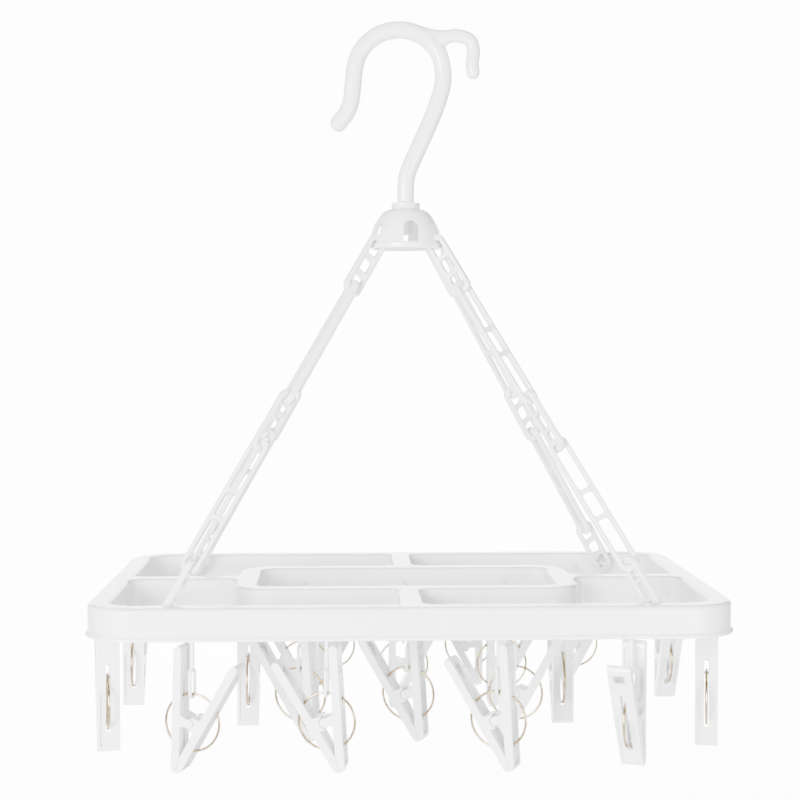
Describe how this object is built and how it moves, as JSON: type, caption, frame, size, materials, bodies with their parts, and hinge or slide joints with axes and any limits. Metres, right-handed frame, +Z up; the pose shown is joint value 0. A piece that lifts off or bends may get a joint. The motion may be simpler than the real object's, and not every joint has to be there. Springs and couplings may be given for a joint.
{
  "type": "clip drying hanger",
  "caption": "Rounded rectangular drying frame on four plate chains from a swivelling hook, with sprung clips hung on straps.",
  "frame": {"origin": "the seat inside the hook's crown, where it rests on a rail, over the frame's centre", "axes": "+Z up, +X along the frame's long side towards the small side hook, +Y away from the side with the turned clip"},
  "size_m": [0.4279, 0.2762, 0.4929],
  "materials": {
    "white_plastic": "smooth injection moulded, glossy",
    "spring_wire": "drawn wire, yellow zinc plated"
  },
  "bodies": {
    "hook": {"swivel_hook": "white_plastic", "hook_retainer": "white_plastic"},
    "hub": {"hub_dome": "white_plastic"},
    "frame": {"frame": "white_plastic"},
    "chain_front_left_short_top": {"chain_front_left_short_top": "white_plastic"},
    "chain_front_left_long_upper": {"chain_front_left_long_upper": "white_plastic"},
    "chain_front_left_short_mid": {"chain_front_left_short_mid": "white_plastic"},
    "chain_front_left_long_lower": {"chain_front_left_long_lower": "white_plastic"},
    "chain_front_right_short_top": {"chain_front_right_short_top": "white_plastic"},
    "chain_front_right_long_upper": {"chain_front_right_long_upper": "white_plastic"},
    "chain_front_right_short_mid": {"chain_front_right_short_mid": "white_plastic"},
    "chain_front_right_long_lower": {"chain_front_right_long_lower": "white_plastic"},
    "chain_rear_left_short_top": {"chain_rear_left_short_top": "white_plastic"},
    "chain_rear_left_long_upper": {"chain_rear_left_long_upper": "white_plastic"},
    "chain_rear_left_short_mid": {"chain_rear_left_short_mid": "white_plastic"},
    "chain_rear_left_long_lower": {"chain_rear_left_long_lower": "white_plastic"},
    "chain_rear_right_short_top": {"chain_rear_right_short_top": "white_plastic"},
    "chain_rear_right_long_upper": {"chain_rear_right_long_upper": "white_plastic"},
    "chain_rear_right_short_mid": {"chain_rear_right_short_mid": "white_plastic"},
    "chain_rear_right_long_lower": {"chain_rear_right_long_lower": "white_plastic"},
    "clip_01_hung": {"clip_01_hung_jaw": "white_plastic", "clip_01_spring": "spring_wire", "clip_01_strap": "white_plastic"},
    "clip_01_free": {"clip_01_free_jaw": "white_plastic"},
    "clip_02_hung": {"clip_02_hung_jaw": "white_plastic"},
    "clip_02_free": {"clip_02_free_jaw": "white_plastic"},
    "clip_03_hung": {"clip_03_hung_jaw": "white_plastic"},
    "clip_03_free": {"clip_03_free_jaw": "white_plastic"},
    "clip_04_hung": {"clip_04_hung_jaw": "white_plastic"},
    "clip_04_free": {"clip_04_free_jaw": "white_plastic"},
    "clip_05_hung": {"clip_05_hung_jaw": "white_plastic"},
    "clip_05_free": {"clip_05_free_jaw": "white_plastic"},
    "clip_06_hung": {"clip_06_hung_jaw": "white_plastic"},
    "clip_06_free": {"clip_06_free_jaw": "white_plastic"},
    "clip_07_hung": {"clip_07_hung_jaw": "white_plastic"},
    "clip_07_free": {"clip_07_free_jaw": "white_plastic"},
    "clip_08_hung": {"clip_08_hung_jaw": "white_plastic"},
    "clip_08_free": {"clip_08_free_jaw": "white_plastic"},
    "clip_09_hung": {"clip_09_hung_jaw": "white_plastic"},
    "clip_09_free": {"clip_09_free_jaw": "white_plastic"},
    "clip_10_hung": {"clip_10_hung_jaw": "white_plastic"},
    "clip_10_free": {"clip_10_free_jaw": "white_plastic"},
    "clip_11_hung": {"clip_11_hung_jaw": "white_plastic"},
    "clip_11_free": {"clip_11_free_jaw": "white_plastic"},
    "clip_12_hung": {"clip_12_hung_jaw": "white_plastic"},
    "clip_12_free": {"clip_12_free_jaw": "white_plastic"},
    "clip_13_hung": {"clip_13_hung_jaw": "white_plastic"},
    "clip_13_free": {"clip_13_free_jaw": "white_plastic"},
    "clip_14_hung": {"clip_14_hung_jaw": "white_plastic"},
    "clip_14_free": {"clip_14_free_jaw": "white_plastic"},
    "clip_15_hung": {"clip_15_hung_jaw": "white_plastic"},
    "clip_15_free": {"clip_15_free_jaw": "white_plastic"},
    "clip_16_hung": {"clip_16_hung_jaw": "white_plastic"},
    "clip_16_free": {"clip_16_free_jaw": "white_plastic"},
    "clip_17_hung": {"clip_17_hung_jaw": "white_plastic"},
    "clip_17_free": {"clip_17_free_jaw": "white_plastic"},
    "clip_18_hung": {"clip_18_hung_jaw": "white_plastic"},
    "clip_18_free": {"clip_18_free_jaw": "white_plastic"},
    "clip_19_hung": {"clip_19_hung_jaw": "white_plastic"},
    "clip_19_free": {"clip_19_free_jaw": "white_plastic"}
  },
  "joints": [
    {"name": "hook_swivel", "type": "hinge", "parent": "hook", "child": "hub", "pos_m": [0, 0, -0.1181], "axis": [0, 0, 1], "continuous": true},
    {"name": "frame_lift", "type": "slide", "parent": "hub", "child": "frame", "axis": [0, 0, 1], "range_m": [0, 0.018]},
    {"name": "chain_front_left_swing", "type": "hinge", "parent": "hub", "child": "chain_front_left_short_top", "pos_m": [-0.02098, -0.01386, -0.14435], "axis": [-0.5517, 0.834, 0], "range_deg": [0, 3]},
    {"name": "chain_front_left_long_upper_slide", "type": "slide", "parent": "chain_front_left_short_top", "child": "chain_front_left_long_upper", "axis": [0.4721, 0.3123, 0.8244], "range_m": [0, 0.004]},
    {"name": "chain_front_left_short_mid_slide", "type": "slide", "parent": "chain_front_left_long_upper", "child": "chain_front_left_short_mid", "axis": [0.4721, 0.3123, 0.8244], "range_m": [0, 0.004]},
    {"name": "chain_front_left_long_lower_slide", "type": "slide", "parent": "chain_front_left_short_mid", "child": "chain_front_left_long_lower", "axis": [0.4721, 0.3123, 0.8244], "range_m": [0, 0.004]},
    {"name": "chain_front_right_swing", "type": "hinge", "parent": "hub", "child": "chain_front_right_short_top", "pos_m": [0.02098, -0.01386, -0.14435], "axis": [-0.5517, -0.834, 0], "range_deg": [0, 3]},
    {"name": "chain_front_right_long_upper_slide", "type": "slide", "parent": "chain_front_right_short_top", "child": "chain_front_right_long_upper", "axis": [-0.4721, 0.3123, 0.8244], "range_m": [0, 0.004]},
    {"name": "chain_front_right_short_mid_slide", "type": "slide", "parent": "chain_front_right_long_upper", "child": "chain_front_right_short_mid", "axis": [-0.4721, 0.3123, 0.8244], "range_m": [0, 0.004]},
    {"name": "chain_front_right_long_lower_slide", "type": "slide", "parent": "chain_front_right_short_mid", "child": "chain_front_right_long_lower", "axis": [-0.4721, 0.3123, 0.8244], "range_m": [0, 0.004]},
    {"name": "chain_rear_left_swing", "type": "hinge", "parent": "hub", "child": "chain_rear_left_short_top", "pos_m": [-0.02098, 0.01386, -0.14435], "axis": [0.5517, 0.834, 0], "range_deg": [0, 3]},
    {"name": "chain_rear_left_long_upper_slide", "type": "slide", "parent": "chain_rear_left_short_top", "child": "chain_rear_left_long_upper", "axis": [0.4721, -0.3123, 0.8244], "range_m": [0, 0.004]},
    {"name": "chain_rear_left_short_mid_slide", "type": "slide", "parent": "chain_rear_left_long_upper", "child": "chain_rear_left_short_mid", "axis": [0.4721, -0.3123, 0.8244], "range_m": [0, 0.004]},
    {"name": "chain_rear_left_long_lower_slide", "type": "slide", "parent": "chain_rear_left_short_mid", "child": "chain_rear_left_long_lower", "axis": [0.4721, -0.3123, 0.8244], "range_m": [0, 0.004]},
    {"name": "chain_rear_right_swing", "type": "hinge", "parent": "hub", "child": "chain_rear_right_short_top", "pos_m": [0.02098, 0.01386, -0.14435], "axis": [0.5517, -0.834, 0], "range_deg": [0, 3]},
    {"name": "chain_rear_right_long_upper_slide", "type": "slide", "parent": "chain_rear_right_short_top", "child": "chain_rear_right_long_upper", "axis": [-0.4721, -0.3123, 0.8244], "range_m": [0, 0.004]},
    {"name": "chain_rear_right_short_mid_slide", "type": "slide", "parent": "chain_rear_right_long_upper", "child": "chain_rear_right_short_mid", "axis": [-0.4721, -0.3123, 0.8244], "range_m": [0, 0.004]},
    {"name": "chain_rear_right_long_lower_slide", "type": "slide", "parent": "chain_rear_right_short_mid", "child": "chain_rear_right_long_lower", "axis": [-0.4721, -0.3123, 0.8244], "range_m": [0, 0.004]},
    {"name": "clip_01_swing", "type": "hinge", "parent": "frame", "child": "clip_01_hung", "pos_m": [-0.138, -0.11775, -0.3886], "axis": [0, 1, 0], "range_deg": [-12, 12]},
    {"name": "clip_01_squeeze", "type": "hinge", "parent": "clip_01_hung", "child": "clip_01_free", "pos_m": [-0.13787, -0.11779, -0.44862], "axis": [-0.309, -0.9511, 0], "range_deg": [0, 24], "stiffness_Nm_per_rad": 0.03, "springref_deg": -34.38},
    {"name": "clip_02_swing", "type": "hinge", "parent": "frame", "child": "clip_02_hung", "pos_m": [-0.054, -0.11775, -0.3886], "axis": [0, 1, 0], "range_deg": [-12, 12]},
    {"name": "clip_02_squeeze", "type": "hinge", "parent": "clip_02_hung", "child": "clip_02_free", "pos_m": [-0.05415, -0.11772, -0.44862], "axis": [0.2079, 0.9781, 0], "range_deg": [0, 24], "stiffness_Nm_per_rad": 0.03, "springref_deg": -34.38},
    {"name": "clip_03_swing", "type": "hinge", "parent": "frame", "child": "clip_03_hung", "pos_m": [0.054, -0.11775, -0.3886], "axis": [0, 1, 0], "range_deg": [-12, 12]},
    {"name": "clip_03_squeeze", "type": "hinge", "parent": "clip_03_hung", "child": "clip_03_free", "pos_m": [0.05386, -0.11769, -0.44862], "axis": [0.4067, 0.9135, 0], "range_deg": [0, 24], "stiffness_Nm_per_rad": 0.03, "springref_deg": -34.38},
    {"name": "clip_04_swing", "type": "hinge", "parent": "frame", "child": "clip_04_hung", "pos_m": [0.138, -0.11775, -0.3886], "axis": [0, 1, 0], "range_deg": [-12, 12]},
    {"name": "clip_04_squeeze", "type": "hinge", "parent": "clip_04_hung", "child": "clip_04_free", "pos_m": [0.13795, -0.11786, -0.44861], "axis": [-0.9063, 0.4226, 0], "range_deg": [0, 24], "stiffness_Nm_per_rad": 0.03, "springref_deg": -34.38},
    {"name": "clip_05_swing", "type": "hinge", "parent": "frame", "child": "clip_05_hung", "pos_m": [0.19975, -0.062, -0.3886], "axis": [-1, 0, 0], "range_deg": [-12, 12]},
    {"name": "clip_05_squeeze", "type": "hinge", "parent": "clip_05_hung", "child": "clip_05_free", "pos_m": [0.19978, -0.06188, -0.44861], "axis": [0.9744, -0.225, 0], "range_deg": [0, 24], "stiffness_Nm_per_rad": 0.03, "springref_deg": -34.38},
    {"name": "clip_06_swing", "type": "hinge", "parent": "frame", "child": "clip_06_hung", "pos_m": [0.19975, 0.062, -0.3886], "axis": [-1, 0, 0], "range_deg": [-12, 12]},
    {"name": "clip_06_squeeze", "type": "hinge", "parent": "clip_06_hung", "child": "clip_06_free", "pos_m": [0.19975, 0.06188, -0.44861], "axis": [-1, 0, 0], "range_deg": [0, 24], "stiffness_Nm_per_rad": 0.03, "springref_deg": -34.38},
    {"name": "clip_07_swing", "type": "hinge", "parent": "frame", "child": "clip_07_hung", "pos_m": [0.138, 0.11775, -0.3886], "axis": [0, -1, 0], "range_deg": [-12, 12]},
    {"name": "clip_07_squeeze", "type": "hinge", "parent": "clip_07_hung", "child": "clip_07_free", "pos_m": [0.13812, 0.11775, -0.44861], "axis": [0, -1, 0], "range_deg": [0, 24], "stiffness_Nm_per_rad": 0.03, "springref_deg": -34.38},
    {"name": "clip_08_swing", "type": "hinge", "parent": "frame", "child": "clip_08_hung", "pos_m": [0.054, 0.11775, -0.3886], "axis": [0, -1, 0], "range_deg": [-12, 12]},
    {"name": "clip_08_squeeze", "type": "hinge", "parent": "clip_08_hung", "child": "clip_08_free", "pos_m": [0.05388, 0.11775, -0.44861], "axis": [0, 1, 0], "range_deg": [0, 24], "stiffness_Nm_per_rad": 0.03, "springref_deg": -34.38},
    {"name": "clip_09_swing", "type": "hinge", "parent": "frame", "child": "clip_09_hung", "pos_m": [-0.054, 0.11775, -0.3886], "axis": [0, -1, 0], "range_deg": [-12, 12]},
    {"name": "clip_09_squeeze", "type": "hinge", "parent": "clip_09_hung", "child": "clip_09_free", "pos_m": [-0.05388, 0.11775, -0.44861], "axis": [0, -1, 0], "range_deg": [0, 24], "stiffness_Nm_per_rad": 0.03, "springref_deg": -34.38},
    {"name": "clip_10_swing", "type": "hinge", "parent": "frame", "child": "clip_10_hung", "pos_m": [-0.19975, 0.062, -0.3886], "axis": [1, 0, 0], "range_deg": [-12, 12]},
    {"name": "clip_10_squeeze", "type": "hinge", "parent": "clip_10_hung", "child": "clip_10_free", "pos_m": [-0.19975, 0.06212, -0.44861], "axis": [1, 0, 0], "range_deg": [0, 24], "stiffness_Nm_per_rad": 0.03, "springref_deg": -34.38},
    {"name": "clip_11_swing", "type": "hinge", "parent": "frame", "child": "clip_11_hung", "pos_m": [-0.19975, -0.062, -0.3886], "axis": [1, 0, 0], "range_deg": [-12, 12]},
    {"name": "clip_11_squeeze", "type": "hinge", "parent": "clip_11_hung", "child": "clip_11_free", "pos_m": [-0.19978, -0.06188, -0.44861], "axis": [0.9781, 0.2079, 0], "range_deg": [0, 24], "stiffness_Nm_per_rad": 0.03, "springref_deg": -34.38},
    {"name": "clip_12_swing", "type": "hinge", "parent": "frame", "child": "clip_12_hung", "pos_m": [-0.073, -0.04575, -0.3886], "axis": [0, 1, 0], "range_deg": [-12, 12]},
    {"name": "clip_12_squeeze", "type": "hinge", "parent": "clip_12_hung", "child": "clip_12_free", "pos_m": [-0.07315, -0.0457, -0.44862], "axis": [0.342, 0.9397, 0], "range_deg": [0, 24], "stiffness_Nm_per_rad": 0.03, "springref_deg": -34.38},
    {"name": "clip_13_swing", "type": "hinge", "parent": "frame", "child": "clip_13_hung", "pos_m": [0, -0.04575, -0.3886], "axis": [0, 1, 0], "range_deg": [-12, 12]},
    {"name": "clip_13_squeeze", "type": "hinge", "parent": "clip_13_hung", "child": "clip_13_free", "pos_m": [-0.00015, -0.0457, -0.44862], "axis": [0.342, 0.9397, 0], "range_deg": [0, 24], "stiffness_Nm_per_rad": 0.03, "springref_deg": -34.38},
    {"name": "clip_14_swing", "type": "hinge", "parent": "frame", "child": "clip_14_hung", "pos_m": [0.073, -0.04575, -0.3886], "axis": [0, 1, 0], "range_deg": [-12, 12]},
    {"name": "clip_14_squeeze", "type": "hinge", "parent": "clip_14_hung", "child": "clip_14_free", "pos_m": [0.07312, -0.04578, -0.44861], "axis": [-0.2079, -0.9781, 0], "range_deg": [0, 24], "stiffness_Nm_per_rad": 0.03, "springref_deg": -34.38},
    {"name": "clip_15_swing", "type": "hinge", "parent": "frame", "child": "clip_15_hung", "pos_m": [0.11075, 0, -0.3886], "axis": [-1, 0, 0], "range_deg": [-12, 12]},
    {"name": "clip_15_squeeze", "type": "hinge", "parent": "clip_15_hung", "child": "clip_15_free", "pos_m": [0.11075, 0.00012, -0.44861], "axis": [1, 0, 0], "range_deg": [0, 24], "stiffness_Nm_per_rad": 0.03, "springref_deg": -34.38},
    {"name": "clip_16_swing", "type": "hinge", "parent": "frame", "child": "clip_16_hung", "pos_m": [0.073, 0.04575, -0.3886], "axis": [0, -1, 0], "range_deg": [-12, 12]},
    {"name": "clip_16_squeeze", "type": "hinge", "parent": "clip_16_hung", "child": "clip_16_free", "pos_m": [0.07312, 0.04575, -0.44861], "axis": [0, -1, 0], "range_deg": [0, 24], "stiffness_Nm_per_rad": 0.03, "springref_deg": -34.38},
    {"name": "clip_17_swing", "type": "hinge", "parent": "frame", "child": "clip_17_hung", "pos_m": [0, 0.04575, -0.3886], "axis": [0, -1, 0], "range_deg": [-12, 12]},
    {"name": "clip_17_squeeze", "type": "hinge", "parent": "clip_17_hung", "child": "clip_17_free", "pos_m": [0.00012, 0.04575, -0.44861], "axis": [0, -1, 0], "range_deg": [0, 24], "stiffness_Nm_per_rad": 0.03, "springref_deg": -34.38},
    {"name": "clip_18_swing", "type": "hinge", "parent": "frame", "child": "clip_18_hung", "pos_m": [-0.073, 0.04575, -0.3886], "axis": [0, -1, 0], "range_deg": [-12, 12]},
    {"name": "clip_18_squeeze", "type": "hinge", "parent": "clip_18_hung", "child": "clip_18_free", "pos_m": [-0.07312, 0.04575, -0.44861], "axis": [0, 1, 0], "range_deg": [0, 24], "stiffness_Nm_per_rad": 0.03, "springref_deg": -34.38},
    {"name": "clip_19_swing", "type": "hinge", "parent": "frame", "child": "clip_19_hung", "pos_m": [-0.11075, 0, -0.3886], "axis": [1, 0, 0], "range_deg": [-12, 12]},
    {"name": "clip_19_squeeze", "type": "hinge", "parent": "clip_19_hung", "child": "clip_19_free", "pos_m": [-0.11075, 0.00012, -0.44861], "axis": [1, 0, 0], "range_deg": [0, 24], "stiffness_Nm_per_rad": 0.03, "springref_deg": -34.38}
  ],
  "couplings": [
    {"joint": "chain_front_left_swing", "follows": "frame_lift", "rad_per_m": 2.3549},
    {"joint": "chain_front_left_long_upper_slide", "follows": "frame_lift", "ratio": 0.2031},
    {"joint": "chain_front_left_short_mid_slide", "follows": "frame_lift", "ratio": 0.2031},
    {"joint": "chain_front_left_long_lower_slide", "follows": "frame_lift", "ratio": 0.2031},
    {"joint": "chain_front_right_swing", "follows": "frame_lift", "rad_per_m": 2.3549},
    {"joint": "chain_front_right_long_upper_slide", "follows": "frame_lift", "ratio": 0.2031},
    {"joint": "chain_front_right_short_mid_slide", "follows": "frame_lift", "ratio": 0.2031},
    {"joint": "chain_front_right_long_lower_slide", "follows": "frame_lift", "ratio": 0.2031},
    {"joint": "chain_rear_left_swing", "follows": "frame_lift", "rad_per_m": 2.3549},
    {"joint": "chain_rear_left_long_upper_slide", "follows": "frame_lift", "ratio": 0.2031},
    {"joint": "chain_rear_left_short_mid_slide", "follows": "frame_lift", "ratio": 0.2031},
    {"joint": "chain_rear_left_long_lower_slide", "follows": "frame_lift", "ratio": 0.2031},
    {"joint": "chain_rear_right_swing", "follows": "frame_lift", "rad_per_m": 2.3549},
    {"joint": "chain_rear_right_long_upper_slide", "follows": "frame_lift", "ratio": 0.2031},
    {"joint": "chain_rear_right_short_mid_slide", "follows": "frame_lift", "ratio": 0.2031},
    {"joint": "chain_rear_right_long_lower_slide", "follows": "frame_lift", "ratio": 0.2031}
  ]
}
